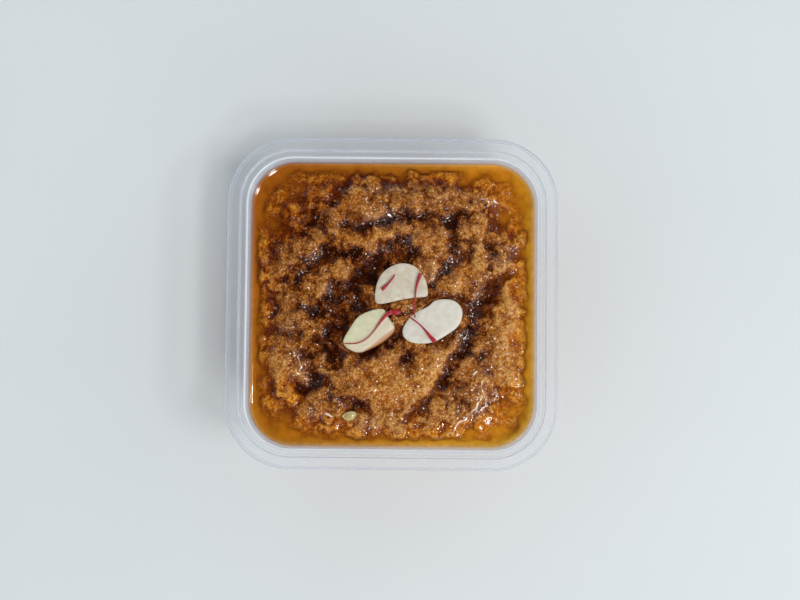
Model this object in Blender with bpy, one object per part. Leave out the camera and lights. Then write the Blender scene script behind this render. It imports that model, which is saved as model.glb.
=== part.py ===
"""Soft mohanthal in a square clear tub, with melted ghee round it and garnish on top.

Sizes are in millimetres and become metres where a mesh is made. The origin is the
middle of the tub's foot, +Z is up, +X is right and +Y is back.
"""

import math

import bmesh
import bpy
from mathutils import Vector, noise

MM = 0.001

# Tub
RIM_HALF = 52.0
RIM_CORNER = 20.5
RIM_TOP = 40.0
WALL = 0.8
FLANGE_WIDTH = 4.4
LIP_DROP = 2.6
EDGE_ROUND = 0.35
# The flange's outer edge: how far in and how far down each point is, in EDGE_ROUND
RIM_EDGE = ((0.0, 2.0), (0.3, 0.6), (1.4, 0.0))
LEDGE_TOP = 38.0
LEDGE_SLOPE = 0.5
MOUTH_HALF = 45.7
MOUTH_Z = 37.4
MOUTH_ROUND = 0.75
MOUTH_SHARE = 0.3
DRAFT = math.radians(4.0)
CORNER_STEPS = 8
TUB_SMOOTH = 35.0
# Bends at the bottom: how far in from the wall, and how high
FLOOR_BEND = ((0.0, 3.4), (0.35, 2.3), (1.2, 1.6), (2.6, 1.3))
FOOT_BEND = ((2.4, 0.0), (0.9, 0.6), (0.15, 1.9), (0.0, 3.4))
FOOT_WIDTH = 3.2
FOOT_RECESS = 0.5

# Contents
GAP = 0.3
WALL_GAP = 0.4
GHEE_LEVEL = 30.5
SHORE_DEPTH = 0.6
MOAT_SLOPE = 2.2
MOAT_DROP = 3.6
MOAT_POWER = 5
PLATEAU = 31.9
LOWEST = 30.0
HIGHEST = 34.6
SHORE_RISE = 4.5
CREST_ROUND = 1.0
PIT_ROUND = 0.8
SWEET_SMOOTH = 60.0

# Rings of the sweet's grid: from the middle to the shore, and on to the wall
SHORE_RING = 25
WALL_RING = 28

# Outline of the sweet where it comes out of the ghee
SHORE_HALF = 41.7
SHORE_CORNER = 27.0
# Each corner of the shore: direction in degrees, how far it moves out
SHORE_CORNERS = ((135, -7.5), (45, -2.5), (-45, 1.5), (-135, 0.5))
SHORE_SPREAD = 17.0
# Lobes of the shore: count round the tub, height, phase
SHORE_LOBES = ((7, 0.7, 0.4), (13, 0.6, 2.1), (19, 0.45, 4.0))

# Folds left by the spoon: middle line, half width, rise
FOLDS = {
    "left shoulder": (((-33, 20), (-30, 16), (-25, 20)), 3.6, 2.3),
    "top": (((-16, 31), (-12, 33.5), (-6, 33), (0, 31.5), (6, 32)), 3.8, 2.7),
    "hook": (((8, 34), (14, 33), (19, 34), (24, 32), (28, 28), (29, 21), (28, 14), (24, 9), (18, 5.5)), 3.1, 2.6),
    "second": (((-18, 23), (-14, 18.5), (-8, 20), (-2, 22.5), (5, 24.5)), 2.9, 2.5),
    "inner": (((9, 22), (14, 21), (15, 14), (12, 9), (15, 6)), 4.4, 2.6),
    "left": (((-27, 11), (-21, 8), (-17, 10)), 3.4, 2.3),
    "left edge": (((-38, 10), (-37, 5)), 2.6, 1.1),
    "left low": (((-33, -3), (-28, -7), (-24, -11)), 3.4, 2.0),
    "gold": (((-37, -17), (-33, -22)), 4.2, 1.6),
    "corner": (((-27, -29), (-23, -31)), 2.8, 1.7),
    "olive": (((-20, -22), (-15, -27), (-12, -30)), 3.4, 1.8),
    "heart": (((-6, -22), (0, -28), (9, -26), (14, -20), (16, -15)), 7.0, 2.9),
    "heart foot": (((-4, -38), (6, -38), (14, -36)), 3.0, 1.4),
    "right slope": (((36, -1), (38, -13), (34, -22)), 5.0, 2.0),
    "lobes": (((24, -21), (29, -27), (25, -31), (19, -34)), 3.2, 2.0),
    "top right": (((28, 35), (33, 31)), 2.4, 1.1),
    "right": (((33, 22), (37, 18), (35, 12)), 3.0, 2.1),
    "right rim": (((31, 9), (35, 6)), 2.3, 1.6),
    "bank": (((21, 1), (22, -7), (19, -12)), 2.2, 1.0),
}

# Hollows and creases between the folds: middle line, half width, depth
HOLLOWS = {
    "crescent": (((3, 16.5), (-3, 14), (-9, 9), (-13, 3), (-15, -3), (-18, -8), (-20, -13)), 3.1, 3.6),
    "crescent pit": (((-13, 2), (-12, -4)), 4.0, 1.5),
    "basin": (((0, -2), (5, -4)), 7.0, 0.8),
    "left crease": (((-21, 16.5), (-27, 13), (-30.5, 7)), 1.8, 2.8),
    "top crease": (((-22, 27), (-12, 25.5), (-2, 26.5), (6, 28.5), (14, 27.5), (19.5, 26)), 1.7, 2.2),
    "inner crease": (((19, 26), (20.5, 20), (20, 15), (17, 11), (15, 8.5)), 1.6, 2.6),
    "hook crease": (((31, 26), (31.5, 18), (30.5, 12)), 1.7, 2.4),
    "right valley": (((37, 9), (32, 5.5), (28, -3.5), (25, -10), (22, -14), (19, -18), (18, -23), (13, -28),
                      (9, -33), (4, -38)), 2.1, 3.0),
    "valley pit": (((30, 3), (27, -4)), 2.8, 1.6),
    "low left valley": (((-26, -17), (-25, -24), (-28, -29)), 2.3, 2.2),
    "low left pit": (((-21, -12), (-19.5, -16)), 2.0, 2.2),
    "heart pit": (((-8.5, -18), (-8, -21)), 1.8, 2.3),
    "heart dimple": (((4.5, -16), (6, -18.5)), 1.6, 1.2),
    "corner pit": (((-30, -28), (-29, -31)), 2.0, 1.6),
    "slope pit": (((31, -20), (32, -23)), 1.8, 1.4),
    "chip pit": (((-12, -31), (-11, -33)), 1.7, 1.2),
}

# Lumps of the mass: size, height
LUMPS = ((9.0, 0.55), (4.6, 0.6), (2.9, 0.4))
LUMP_SEED = Vector((3.7, 8.1, 5.3))

# Slices of nut: outline anticlockwise seen from above, top of the face, lean, thickness, crown
ALMONDS = {
    "almond_top": (
        ((-5.6, 0.6), (-3.1, 0.0), (1.2, 1.0), (7.0, 2.1), (11.0, 2.4), (11.4, 4.1), (10.7, 7.9),
         (7.8, 11.9), (3.4, 13.2), (-0.2, 12.2), (-3.1, 10.1), (-5.1, 6.4)),
        33.5, (0.02, 0.04), 1.2, 0.25),
    "almond_right": (
        ((7.4, -2.6), (4.9, -5.2), (3.4, -8.1), (3.8, -10.6), (6.3, -12.3), (10.7, -12.6), (14.3, -11.7),
         (17.9, -9.5), (21.2, -7.0), (22.6, -3.3), (21.9, -0.5), (19.4, 1.5), (15.7, 1.7), (13.2, 1.0),
         (11.4, -0.8)),
        33.3, (0.02, -0.01), 1.1, 0.2),
    "almond_left": (
        ((-15.8, -12.4), (-13.3, -14.9), (-10.3, -15.7), (-6.7, -14.5), (-2.4, -12.1), (0.7, -9.1),
         (0.9, -7.2), (-1.3, -4.1), (-2.5, -1.6), (-6.0, -1.9), (-9.6, -3.3), (-11.8, -5.2), (-14.0, -8.8)),
        33.8, (-0.02, 0.04), 2.2, 0.3),
}
CHIP = (((-16.0, -35.9), (-13.9, -37.4), (-11.9, -36.9), (-10.8, -34.8), (-13.3, -34.2)),
        33.2, (0.0, 0.05), 1.5, 0.4)
OUTLINE_STEPS = 2
NUT_ROUND = 0.35
# The crown's highest ring: how far in, in NUT_ROUND, and its share of the crown still to rise
CROWN_PULL = 4.0
CROWN_SHARE = 0.4
NUT_SMOOTH = 50.0

# The seat that a slice presses into the sweet: margin round it, width of its slope, play
SEAT_MARGIN = 2.4
SEAT_SLOPE = 2.2
SEAT_PLAY = 0.15

# Saffron: middle line from the flared end to the thin end, flare's half width, thread's half width
STRANDS = {
    "saffron_short": (((-3.4, 4.4), (-0.9, 6.8), (0.9, 9.3)), 0.85, 0.3),
    "saffron_upright": (((9.1, 9.9), (8.1, 7.1), (7.5, 4.6), (7.3, 1.2), (7.0, -2.3), (7.5, -4.4)), 0.8, 0.25),
    "saffron_crossing": (((13.8, -12.0), (12.3, -10.4), (10.7, -8.4), (8.8, -6.4), (6.7, -4.9), (4.9, -3.6)),
                         0.95, 0.27),
    "saffron_long": (((2.8, -2.5), (-0.2, -2.7), (-1.8, -3.6), (-3.4, -5.4), (-5.0, -7.8), (-6.7, -10.0),
                      (-8.8, -11.8), (-11.5, -12.8), (-15.1, -12.8)), 1.2, 0.22),
}
STRAND_SIDES = 6
STRAND_STEPS = 2
FLARE_SHARE = 0.55
FLARE_CURVE = 1.2
FLARE_HEIGHT = 0.35
STRAND_REACH = 1.2
STRAND_SMOOTH = 70.0


def clear_scene():
    for thing in list(bpy.data.objects):
        bpy.data.objects.remove(thing, do_unlink=True)


def make_material(name, colour, roughness, alpha=1.0, transmission=0.0):
    material = bpy.data.materials.new(name)
    material.use_nodes = True
    shader = material.node_tree.nodes["Principled BSDF"]
    shader.inputs["Base Color"].default_value = (*colour, 1.0)
    shader.inputs["Roughness"].default_value = roughness
    shader.inputs["Metallic"].default_value = 0.0
    shader.inputs["Alpha"].default_value = alpha
    shader.inputs["Transmission Weight"].default_value = transmission
    return material


def add_object(name, mesh_data, material, smooth_angle):
    """Turn a bmesh in millimetres into a named object in metres."""
    bmesh.ops.scale(mesh_data, vec=(MM, MM, MM), verts=mesh_data.verts)
    mesh = bpy.data.meshes.new(name)
    mesh_data.to_mesh(mesh)
    mesh_data.free()
    mesh.shade_smooth()
    mesh.set_sharp_from_angle(angle=math.radians(smooth_angle))
    mesh.materials.append(material)
    thing = bpy.data.objects.new(name, mesh)
    bpy.context.scene.collection.objects.link(thing)
    return thing


def smooth_step(value):
    value = min(max(value, 0.0), 1.0)
    return value * value * (3.0 - 2.0 * value)


def wall_half(height):
    """Half the tub's inner width at a height."""
    return MOUTH_HALF - (MOUTH_Z - height) * math.tan(DRAFT)


def corner_radius(half):
    """All the tub's corners share one middle, so a smaller ring has a tighter corner."""
    return RIM_CORNER - (RIM_HALF - half)


def square_reach(angle, half, corner):
    """Distance from the middle to a rounded square, in one direction."""
    across = max(abs(math.cos(angle)), abs(math.sin(angle)))
    along = min(abs(math.cos(angle)), abs(math.sin(angle)))
    straight = half - corner
    if half * along / across <= straight:
        return half / across
    middle = straight * (across + along)
    return middle + math.sqrt(middle * middle - 2.0 * straight * straight + corner * corner)


def bridge(mesh_data, lower, upper):
    """Quads between two closed rings of the same count."""
    count = len(lower)
    for index in range(count):
        after = (index + 1) % count
        mesh_data.faces.new((lower[index], lower[after], upper[after], upper[index]))


# Tub


def tub_profile():
    """Half width and height of each ring, from under the floor, over the rim, to the floor."""
    bend_top = FLOOR_BEND[0][1]
    inner_half = wall_half(bend_top)
    outer_half = inner_half + WALL
    foot_half = outer_half - FOOT_BEND[0][0]
    step_half = RIM_HALF - FLANGE_WIDTH
    under_ledge = LEDGE_TOP - WALL
    under_flange = RIM_TOP - WALL
    lip_bottom = RIM_TOP - LIP_DROP
    under = [
        (foot_half - FOOT_WIDTH - EDGE_ROUND, FOOT_RECESS),
        (foot_half - FOOT_WIDTH, 0.0),
    ]
    outside = [(outer_half - inset, height) for inset, height in FOOT_BEND]
    rim = [
        (wall_half(under_ledge - WALL) + WALL, under_ledge - WALL),
        (MOUTH_HALF + WALL + MOUTH_ROUND, under_ledge),
        (step_half + EDGE_ROUND, under_ledge),
        (step_half + WALL, under_flange),
        (RIM_HALF - WALL - EDGE_ROUND, under_flange),
        (RIM_HALF - WALL, lip_bottom),
        (RIM_HALF, lip_bottom),
    ]
    rim += [(RIM_HALF - inward * EDGE_ROUND, RIM_TOP - down * EDGE_ROUND) for inward, down in RIM_EDGE]
    rim += [
        (step_half + EDGE_ROUND, RIM_TOP),
        (step_half, RIM_TOP - EDGE_ROUND),
        (step_half - LEDGE_SLOPE, LEDGE_TOP),
        (MOUTH_HALF + MOUTH_ROUND, LEDGE_TOP),
        (MOUTH_HALF + MOUTH_SHARE * MOUTH_ROUND, LEDGE_TOP + (MOUTH_Z - LEDGE_TOP) * MOUTH_SHARE),
        (MOUTH_HALF, MOUTH_Z),
    ]
    inside = [(inner_half - inset, height) for inset, height in FLOOR_BEND]
    return under + outside + rim + inside


def square_ring(mesh_data, half, height):
    corner = corner_radius(half)
    straight = half - corner
    ring = []
    for quarter in range(4):
        start = quarter * math.pi / 2.0
        middle_x = straight * math.copysign(1.0, math.cos(start + math.pi / 4.0))
        middle_y = straight * math.copysign(1.0, math.sin(start + math.pi / 4.0))
        for step in range(CORNER_STEPS + 1):
            angle = start + step / CORNER_STEPS * math.pi / 2.0
            place = (middle_x + corner * math.cos(angle), middle_y + corner * math.sin(angle), height)
            ring.append(mesh_data.verts.new(place))
    return ring


def make_tub():
    mesh_data = bmesh.new()
    rings = [square_ring(mesh_data, half, height) for half, height in tub_profile()]
    mesh_data.faces.new(list(reversed(rings[0])))
    for lower, upper in zip(rings, rings[1:]):
        bridge(mesh_data, lower, upper)
    mesh_data.faces.new(rings[-1])
    plastic = make_material("clear plastic", (0.80, 0.84, 0.88), 0.2, alpha=0.4, transmission=0.8)
    return add_object("tub", mesh_data, plastic, TUB_SMOOTH)


# The relief of the sweet


def distance_to_line(x, y, line):
    nearest = math.inf
    for (ax, ay), (bx, by) in zip(line, line[1:]):
        run_x = bx - ax
        run_y = by - ay
        share = ((x - ax) * run_x + (y - ay) * run_y) / (run_x * run_x + run_y * run_y)
        share = min(max(share, 0.0), 1.0)
        nearest = min(nearest, math.hypot(x - ax - share * run_x, y - ay - share * run_y))
    return nearest


def swell(x, y, line, half_width, height):
    return height * math.exp(-((distance_to_line(x, y, line) / half_width) ** 2))


def curve_point(before, here, after, beyond, t):
    """A point of the Catmull-Rom curve between two of its points."""
    return tuple(
        0.5 * (2.0 * b + (c - a) * t + (2.0 * a - 5.0 * b + 4.0 * c - d) * t * t
               + (3.0 * b - a - 3.0 * c + d) * t ** 3)
        for a, b, c, d in zip(before, here, after, beyond))


def smooth_outline(points, steps):
    """A closed smooth curve through the points."""
    count = len(points)
    curve = []
    for index in range(count):
        near = [points[(index + shift) % count] for shift in (-1, 0, 1, 2)]
        curve += [curve_point(*near, step / steps) for step in range(steps)]
    return curve


def smooth_path(points, steps):
    """An open smooth curve through the points."""
    last = len(points) - 1
    curve = []
    for index in range(last):
        near = [points[min(max(index + shift, 0), last)] for shift in (-1, 0, 1, 2)]
        curve += [curve_point(*near, step / steps) for step in range(steps)]
    return curve + [points[last]]


def outline_middle(outline):
    return tuple(sum(values) / len(outline) for values in zip(*outline))


def inside_distance(x, y, outline):
    """How far a point is inside a closed outline, less than zero outside it."""
    inside = False
    for (ax, ay), (bx, by) in zip(outline, outline[1:] + outline[:1]):
        if (ay > y) != (by > y) and x < ax + (y - ay) / (by - ay) * (bx - ax):
            inside = not inside
    nearest = distance_to_line(x, y, outline + outline[:1])
    return nearest if inside else -nearest


def leaning_face(x, y, middle, top, lean):
    """Height of a leaning slice's upper face."""
    return top + lean[0] * (x - middle[0]) + lean[1] * (y - middle[1])


def resting_slices():
    """Outline, middle, top, lean and thickness of each slice that lies on the sweet."""
    slices = []
    for points, top, lean, thick, _crown in list(ALMONDS.values()) + [CHIP]:
        outline = smooth_outline(points, OUTLINE_STEPS)
        slices.append((outline, outline_middle(outline), top, lean, thick))
    return slices


RESTING = resting_slices()


def relief(x, y):
    """Height of the sweet's open surface, before it slopes to the shore."""
    height = PLATEAU
    for line, half_width, rise in FOLDS.values():
        height += swell(x, y, line, half_width, rise)
    for line, half_width, depth in HOLLOWS.values():
        height -= swell(x, y, line, half_width, depth)
    for size, rise in LUMPS:
        height += rise * noise.noise(Vector((x, y, 0.0)) / size + LUMP_SEED)
    if height > HIGHEST - CREST_ROUND:
        height = HIGHEST - CREST_ROUND * math.exp((HIGHEST - CREST_ROUND - height) / CREST_ROUND)
    if height < LOWEST + PIT_ROUND:
        height = LOWEST + PIT_ROUND * math.exp((height - LOWEST - PIT_ROUND) / PIT_ROUND)
    return height


def seated(x, y, height):
    """Press the sweet down, or raise it, to carry the slices that lie on it."""
    for outline, middle, top, lean, thick in RESTING:
        depth = inside_distance(x, y, outline)
        if depth < -SEAT_MARGIN - SEAT_SLOPE:
            continue
        seat = leaning_face(x, y, middle, top, lean) - thick - GAP - SEAT_PLAY
        if height > seat:
            height += (seat - height) * smooth_step((depth + SEAT_MARGIN + SEAT_SLOPE) / SEAT_SLOPE)
        elif depth > 0.0:
            height += (seat - height) * smooth_step(depth / SEAT_SLOPE)
    return height


def shore_reach(angle):
    """Distance from the middle to the line where the sweet comes out of the ghee."""
    reach = square_reach(angle, SHORE_HALF, SHORE_CORNER)
    for direction, shift in SHORE_CORNERS:
        turn = (math.degrees(angle) - direction + 180.0) % 360.0 - 180.0
        reach += shift * math.exp(-((turn / SHORE_SPREAD) ** 2))
    for count, rise, phase in SHORE_LOBES:
        reach += rise * math.sin(count * angle + phase)
    return reach


def sweet_point(angle, ring):
    """A point of the sweet's upper face, on one of the rings round its middle."""
    shore = shore_reach(angle)
    shore_height = GHEE_LEVEL - SHORE_DEPTH
    if ring <= SHORE_RING:
        reach = shore * ring / SHORE_RING
        x = reach * math.cos(angle)
        y = reach * math.sin(angle)
        share = smooth_step((shore - reach) / SHORE_RISE)
        height = shore_height + (seated(x, y, relief(x, y)) - shore_height) * share
        return (x, y, height)
    share = (ring - SHORE_RING) / (WALL_RING - SHORE_RING)
    height = shore_height - MOAT_SLOPE * share - MOAT_DROP * share ** MOAT_POWER
    half = wall_half(height) - WALL_GAP
    reach = shore + (square_reach(angle, half, corner_radius(half)) - shore) * share
    return (reach * math.cos(angle), reach * math.sin(angle), height)


def ring_cells(ring):
    """Columns and rows of one square ring of the grid, anticlockwise."""
    cells = [(ring, row) for row in range(-ring, ring)]
    cells += [(-column, ring) for column in range(-ring, ring)]
    cells += [(-ring, -row) for row in range(-ring, ring)]
    cells += [(column, -ring) for column in range(-ring, ring)]
    return cells


def wall_angles():
    return [math.atan2(row, column) for column, row in ring_cells(WALL_RING)]


def wall_line(mesh_data, half, height):
    """A level ring inside the tub's wall, one point for each direction of the grid."""
    line = []
    for angle in wall_angles():
        reach = square_reach(angle, half, corner_radius(half))
        line.append(mesh_data.verts.new((reach * math.cos(angle), reach * math.sin(angle), height)))
    return line


def grid_ring(cell):
    return max(abs(cell[0]), abs(cell[1]))


def grid_places(first_ring):
    """The upper face's points from one ring of the grid outwards, by column and row."""
    span = range(-WALL_RING, WALL_RING + 1)
    cells = [(column, row) for column in span for row in span]
    return {cell: sweet_point(math.atan2(cell[1], cell[0]), grid_ring(cell))
            for cell in cells if grid_ring(cell) >= first_ring}


def grid_triangles(places):
    """Two triangles, facing up, for each square of the grid that has its four corners."""
    triangles = []
    for column, row in places:
        corners = ((column, row), (column + 1, row), (column + 1, row + 1), (column, row + 1))
        if all(corner in places for corner in corners):
            triangles += [(corners[0], corners[1], corners[2]), (corners[0], corners[2], corners[3])]
    return triangles


def make_sweet():
    mesh_data = bmesh.new()
    places = grid_places(0)
    verts = {cell: mesh_data.verts.new(place) for cell, place in places.items()}
    for triangle in grid_triangles(places):
        mesh_data.faces.new([verts[cell] for cell in triangle])
    upper = [verts[cell] for cell in ring_cells(WALL_RING)]
    bend_half = wall_half(FLOOR_BEND[0][1]) - WALL_GAP
    for inset, height in (FLOOR_BEND[0], FLOOR_BEND[2], FLOOR_BEND[3]):
        lower = wall_line(mesh_data, bend_half - inset, height + GAP)
        bridge(mesh_data, lower, upper)
        upper = lower
    mesh_data.faces.new(list(reversed(upper)))
    brown = make_material("mohanthal", (0.30, 0.13, 0.05), 0.4)
    return add_object("mohanthal", mesh_data, brown, SWEET_SMOOTH)


def make_ghee():
    """The pool between shore and wall: level on top, and lying on the sweet below."""
    mesh_data = bmesh.new()
    places = grid_places(SHORE_RING)
    verts = {cell: mesh_data.verts.new((x, y, height + GAP)) for cell, (x, y, height) in places.items()}
    for triangle in grid_triangles(places):
        mesh_data.faces.new([verts[cell] for cell in reversed(triangle)])
    shore = [verts[cell] for cell in ring_cells(SHORE_RING)]
    wall = [verts[cell] for cell in ring_cells(WALL_RING)]
    shore_top = [mesh_data.verts.new((vert.co.x, vert.co.y, GHEE_LEVEL)) for vert in shore]
    wall_top = wall_line(mesh_data, wall_half(GHEE_LEVEL) - WALL_GAP, GHEE_LEVEL)
    bridge(mesh_data, wall, wall_top)
    bridge(mesh_data, shore_top, shore)
    edges = [edge for edge in mesh_data.edges if all(vert.co.z == wall_top[0].co.z for vert in edge.verts)]
    bmesh.ops.triangle_fill(mesh_data, edges=edges, use_beauty=True, normal=(0.0, 0.0, 1.0))
    bmesh.ops.recalc_face_normals(mesh_data, faces=mesh_data.faces)
    amber = make_material("ghee", (0.62, 0.30, 0.04), 0.08, alpha=0.8, transmission=0.5)
    return add_object("ghee", mesh_data, amber, TUB_SMOOTH)


# Garnish


def pulled_ring(mesh_data, outline, middle, pull, height_at):
    """The outline drawn in towards its middle, on a leaning face."""
    ring = []
    for x, y in outline:
        share = 1.0 - pull / math.hypot(x - middle[0], y - middle[1])
        place_x = middle[0] + (x - middle[0]) * share
        place_y = middle[1] + (y - middle[1]) * share
        ring.append(mesh_data.verts.new((place_x, place_y, height_at(place_x, place_y))))
    return ring


def make_slice(name, points, top, lean, thick, crown, material):
    """A slice of nut: flat below, a little crowned above, with rounded edges."""
    outline = smooth_outline(points, OUTLINE_STEPS)
    middle = outline_middle(outline)
    # How far each ring is drawn in, and how far it lies under the face
    layers = ((NUT_ROUND, thick), (0.0, thick - NUT_ROUND), (0.0, crown + NUT_ROUND),
              (NUT_ROUND, crown), (CROWN_PULL * NUT_ROUND, CROWN_SHARE * crown))
    mesh_data = bmesh.new()
    rings = []
    for pull, depth in layers:
        rings.append(pulled_ring(mesh_data, outline, middle, pull,
                                 lambda x, y, depth=depth: leaning_face(x, y, middle, top, lean) - depth))
    mesh_data.faces.new(list(reversed(rings[0])))
    for lower, upper in zip(rings, rings[1:]):
        bridge(mesh_data, lower, upper)
    mesh_data.faces.new(rings[-1])
    return add_object(name, mesh_data, material, NUT_SMOOTH)


def support(x, y):
    """Height of what carries a strand here: a slice, or else the sweet."""
    for outline, middle, top, lean, _thick in RESTING:
        if inside_distance(x, y, outline) > -STRAND_REACH:
            return leaning_face(x, y, middle, top, lean)
    return max(seated(x + shift_x, y + shift_y, relief(x + shift_x, y + shift_y))
               for shift_x in (-STRAND_REACH, 0.0, STRAND_REACH)
               for shift_y in (-STRAND_REACH, 0.0, STRAND_REACH))


def make_strand(name, line, flare, thread, material):
    """A saffron strand: a flattened trumpet that narrows to a thread."""
    path = smooth_path(line, STRAND_STEPS)
    last = len(path) - 1
    carried = [support(x, y) for x, y in path]
    mesh_data = bmesh.new()
    rings = []
    for index, (x, y) in enumerate(path):
        behind = path[max(index - 1, 0)]
        ahead = path[min(index + 1, last)]
        run = math.hypot(ahead[0] - behind[0], ahead[1] - behind[1])
        side_x = (behind[1] - ahead[1]) / run
        side_y = (ahead[0] - behind[0]) / run
        opened = max(0.0, 1.0 - index / last / FLARE_SHARE)
        half_width = thread + (flare - thread) * opened ** FLARE_CURVE
        half_height = min(half_width, FLARE_HEIGHT)
        height = max(carried[max(index - 1, 0):index + 2]) + GAP + half_height
        ring = []
        for side in range(STRAND_SIDES):
            angle = 2.0 * math.pi * side / STRAND_SIDES
            across = half_width * math.cos(angle)
            ring.append(mesh_data.verts.new((x + side_x * across, y + side_y * across,
                                             height + half_height * math.sin(angle))))
        rings.append(ring)
    mesh_data.faces.new(list(reversed(rings[0])))
    for first, second in zip(rings, rings[1:]):
        bridge(mesh_data, first, second)
    mesh_data.faces.new(rings[-1])
    return add_object(name, mesh_data, material, STRAND_SMOOTH)


def make_garnish():
    nut = make_material("almond", (0.80, 0.74, 0.60), 0.5)
    for name, almond in ALMONDS.items():
        make_slice(name, *almond, nut)
    make_slice("nut_chip", *CHIP, make_material("nut chip", (0.60, 0.50, 0.24), 0.4))
    crimson = make_material("saffron", (0.42, 0.02, 0.02), 0.5)
    for name, strand in STRANDS.items():
        make_strand(name, *strand, crimson)


def main():
    clear_scene()
    make_tub()
    make_sweet()
    make_ghee()
    make_garnish()


main()
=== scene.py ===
# %% [markdown]
# Soft mohanthal in a small clear tub
#
# The sweet is gram flour roasted in ghee until it is grainy and brown. It was spooned warm
# into a square plastic tub, its melted ghee ran out into a moat along the wall, and three
# slices of almond and four strands of saffron were laid on top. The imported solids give
# every place and size, and each cell here makes one piece or one finish. Lengths are
# written in millimetres and become metres where a mesh is made.

import math

import bmesh
import bpy
import numpy as np
from mathutils import Matrix, Vector
from mathutils.bvhtree import BVHTree


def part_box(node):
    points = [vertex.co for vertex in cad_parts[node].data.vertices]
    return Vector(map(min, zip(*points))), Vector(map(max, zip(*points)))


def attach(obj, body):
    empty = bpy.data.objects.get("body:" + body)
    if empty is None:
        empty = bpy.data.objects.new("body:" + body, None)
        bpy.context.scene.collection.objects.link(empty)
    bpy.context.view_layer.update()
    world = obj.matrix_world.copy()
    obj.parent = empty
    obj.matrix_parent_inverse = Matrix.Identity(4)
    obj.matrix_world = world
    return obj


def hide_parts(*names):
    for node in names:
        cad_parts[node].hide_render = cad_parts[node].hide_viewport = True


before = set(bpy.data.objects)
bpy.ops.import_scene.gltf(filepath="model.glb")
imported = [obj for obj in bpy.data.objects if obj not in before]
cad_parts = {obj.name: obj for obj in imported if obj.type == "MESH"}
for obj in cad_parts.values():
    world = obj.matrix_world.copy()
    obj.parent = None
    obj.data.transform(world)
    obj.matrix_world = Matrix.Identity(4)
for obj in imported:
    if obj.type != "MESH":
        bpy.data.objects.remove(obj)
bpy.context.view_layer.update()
MM = 0.001
print("solids:", sorted(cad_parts))

# %% [markdown]
# The camera
#
# It is solved from the tub's own edges, because the rim, its step and its foot lie at known
# heights. The eye is a little over 35 cm up, nearly above the middle, and the picture is
# turned by half a degree. Depth of field stays off, so the camera serves any side.

# %% Place the camera
EYE = Vector((0.0043, -0.01323, 0.35245))
AIM = Vector((0.00254, 0.00098, 0.040))
UP_HINT = Vector((-0.00946, 1.0, 0.0))
LENS = 45.0
CLIP_START = 0.01


def into_scene(name, data):
    """An object for a mesh, a lamp or the camera, linked into the scene."""
    item = bpy.data.objects.new(name, data)
    bpy.context.scene.collection.objects.link(item)
    return item


forward = (AIM - EYE).normalized()
right = forward.cross(UP_HINT).normalized()
axes = Matrix((right, right.cross(forward), -forward)).transposed()
camera_data = bpy.data.cameras.new("camera")
camera_data.lens = LENS
camera_data.clip_start = CLIP_START
camera = into_scene("camera", camera_data)
camera.matrix_world = Matrix.Translation(EYE) @ axes.to_4x4()
bpy.context.scene.camera = camera
bpy.context.scene.view_settings.view_transform = "Standard"
print("camera to aim:", round((AIM - EYE).length, 4), "m")

# %% [markdown]
# Helpers for materials
#
# A node material is easier to read when each step is one short call. These helpers add to
# the tree of the material made last and hand back the socket that the next step takes.
# Where a value is a name, it is that value on the mesh. All patterns are read from Object
# coordinates, so they stay with the piece from any side.

# %% Material helpers
bench = {}


def new_material(name):
    material = bpy.data.materials.new(name)
    material.use_nodes = True
    bench["tree"] = material.node_tree
    return material


def plug(socket, value):
    """A link from another socket or from a named value on the mesh, or a plain value."""
    if isinstance(value, str):
        value = add_node("Attribute", attribute_name=value).outputs["Fac"]
    if isinstance(value, bpy.types.NodeSocket):
        bench["tree"].links.new(value, socket)
    else:
        socket.default_value = (*value, 1.0) if socket.type == "RGBA" else value


def add_node(kind, inputs=(), **settings):
    """A node with its settings made and its inputs plugged."""
    node = bench["tree"].nodes.new(kind if "Node" in kind else "ShaderNode" + kind)
    for name, value in settings.items():
        setattr(node, name, value)
    for name, value in dict(inputs).items():
        plug(node.inputs[name], value)
    return node


def finish(material, **sockets):
    """Sets or links the shader's own sockets. A space in a socket's name is written as _."""
    for name, value in sockets.items():
        plug(material.node_tree.nodes["Principled BSDF"].inputs[name.replace("_", " ")], value)


def object_place():
    return add_node("TexCoord").outputs["Object"]


def noise(size, detail=3.0, rough=0.5, stretch=(1.0, 1.0, 1.0)):
    """Cloudy noise whose blobs are about size millimetres across."""
    place = object_place()
    if stretch != (1.0, 1.0, 1.0):
        place = add_node("Mapping", {"Vector": place, "Scale": stretch}).outputs["Vector"]
    inputs = {"Vector": place, "Scale": 1.0 / (size * MM), "Detail": detail, "Roughness": rough}
    return add_node("TexNoise", inputs).outputs["Fac"]


def math_node(operation, first, second=0.0, clamp=False):
    return add_node("Math", {0: first, 1: second}, operation=operation, use_clamp=clamp).outputs[0]


def times(first, second):
    return math_node("MULTIPLY", first, second)


def weighted(start, terms):
    """Start plus each value times its weight, kept between 0 and 1."""
    total = start
    for value, weight in terms:
        total = math_node("ADD", times(value, weight), total)
    return math_node("ADD", total, 0.0, clamp=True)


def remap(value, low, high, to_low=0.0, to_high=1.0):
    inputs = {"Value": value, "From Min": low, "From Max": high, "To Min": to_low, "To Max": to_high}
    return add_node("MapRange", inputs).outputs["Result"]


def blend_colours(share, first, second, mode="MIX"):
    inputs = {"Factor": share, "A": first, "B": second}
    return add_node("Mix", inputs, data_type="RGBA", blend_type=mode).outputs["Result"]


def tinted(first, second):
    return blend_colours(1.0, first, second, "MULTIPLY")


def colour_ramp(value, stops):
    """Each stop is a place, then its red, green and blue."""
    node = add_node("ValToRGB", {"Fac": value})
    marks = node.color_ramp.elements
    while len(marks) < len(stops):
        marks.new(0.5)
    for mark, (place, *colour) in zip(marks, stops):
        mark.position = place
        mark.color = (*colour, 1.0)
    return node.outputs["Color"]


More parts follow.
